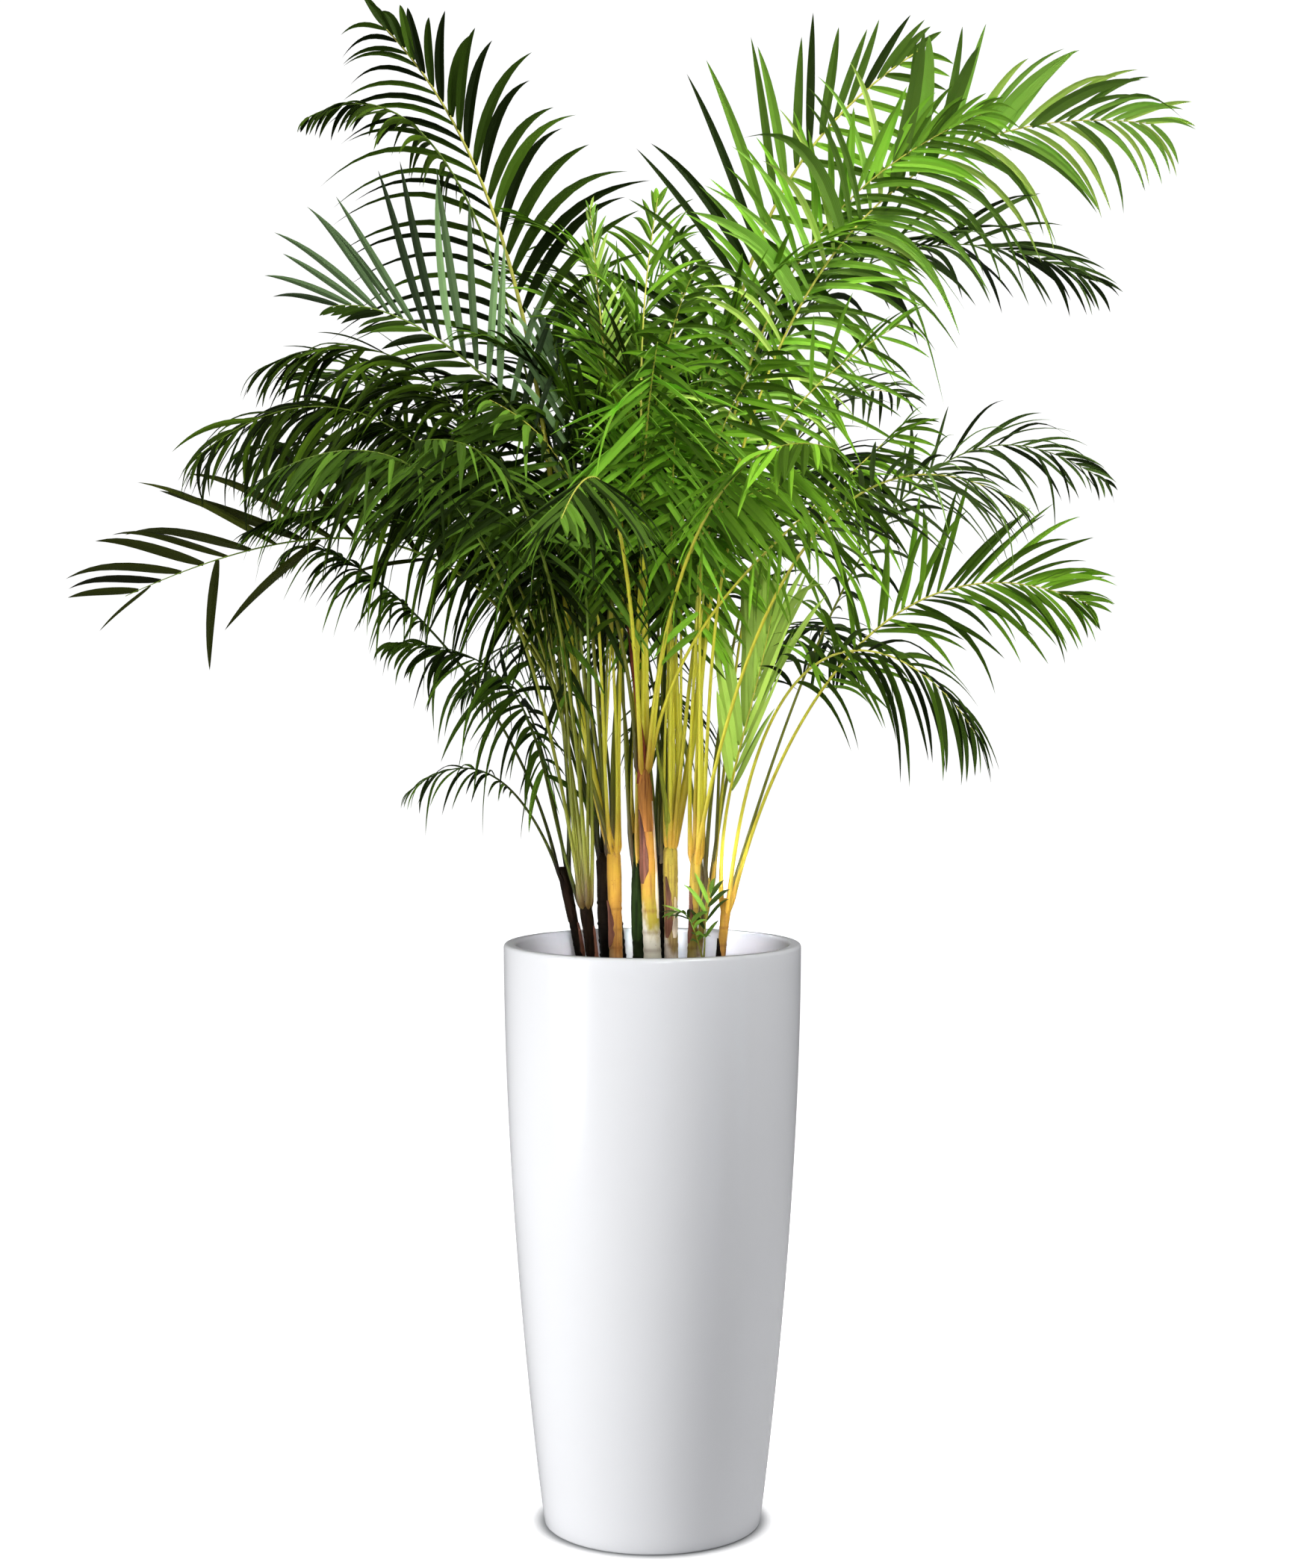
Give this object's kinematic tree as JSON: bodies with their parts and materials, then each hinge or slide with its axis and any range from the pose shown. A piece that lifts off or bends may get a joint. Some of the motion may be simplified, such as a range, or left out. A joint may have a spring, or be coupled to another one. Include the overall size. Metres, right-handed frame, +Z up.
{
  "type": "potted areca palm",
  "caption": "Clump of cane stems with arching feather-shaped fronds, growing in a tall round planter that tapers to its foot.",
  "frame": {"origin": "centre of the planter's flat round underside, at mount base", "axes": "+Z up along the planter's axis to the top of the crown, -Y towards the side the picture shows, +X to the right in that view"},
  "size_m": [1.4434, 1.3088, 2.0469],
  "materials": {
    "planter": "smooth gloss white",
    "soil": "dark crumbly potting compost",
    "cane": "smooth ringed cane, yellow-green to brown",
    "spear": "folded new leaf, red-brown",
    "foliage": "waxy green leaflets on a pale yellow-green rib"
  },
  "bodies": {
    "root": {"cane_01": "cane", "cane_02": "cane", "cane_03": "cane", "cane_04": "cane", "cane_05": "cane", "cane_06": "cane", "cane_07": "cane", "cane_08": "cane", "cane_09": "cane", "cane_10": "cane", "cane_11": "cane", "cane_12": "cane", "frond_01": "foliage", "frond_02": "foliage", "frond_03": "foliage", "frond_04": "foliage", "frond_05": "foliage", "frond_06": "foliage", "frond_07": "foliage", "frond_08": "foliage", "frond_09": "foliage", "frond_10": "foliage", "frond_11": "foliage", "frond_12": "foliage", "frond_13": "foliage", "frond_14": "foliage", "frond_15": "foliage", "frond_16": "foliage", "frond_17": "foliage", "frond_18": "foliage", "frond_19": "foliage", "frond_20": "foliage", "frond_21": "foliage", "frond_22": "foliage", "frond_23": "foliage", "frond_24": "foliage", "frond_25": "foliage", "frond_26": "foliage", "frond_27": "foliage", "frond_28": "foliage", "frond_29": "foliage", "frond_30": "foliage", "frond_31": "foliage", "frond_32": "foliage", "frond_33": "foliage", "frond_34": "foliage", "frond_35": "foliage", "frond_36": "foliage", "frond_37": "foliage", "frond_38": "foliage", "frond_39": "foliage", "frond_40": "foliage", "pot": "planter", "soil": "soil", "spear_05": "spear", "spear_06": "spear"}
  },
  "joints": []
}
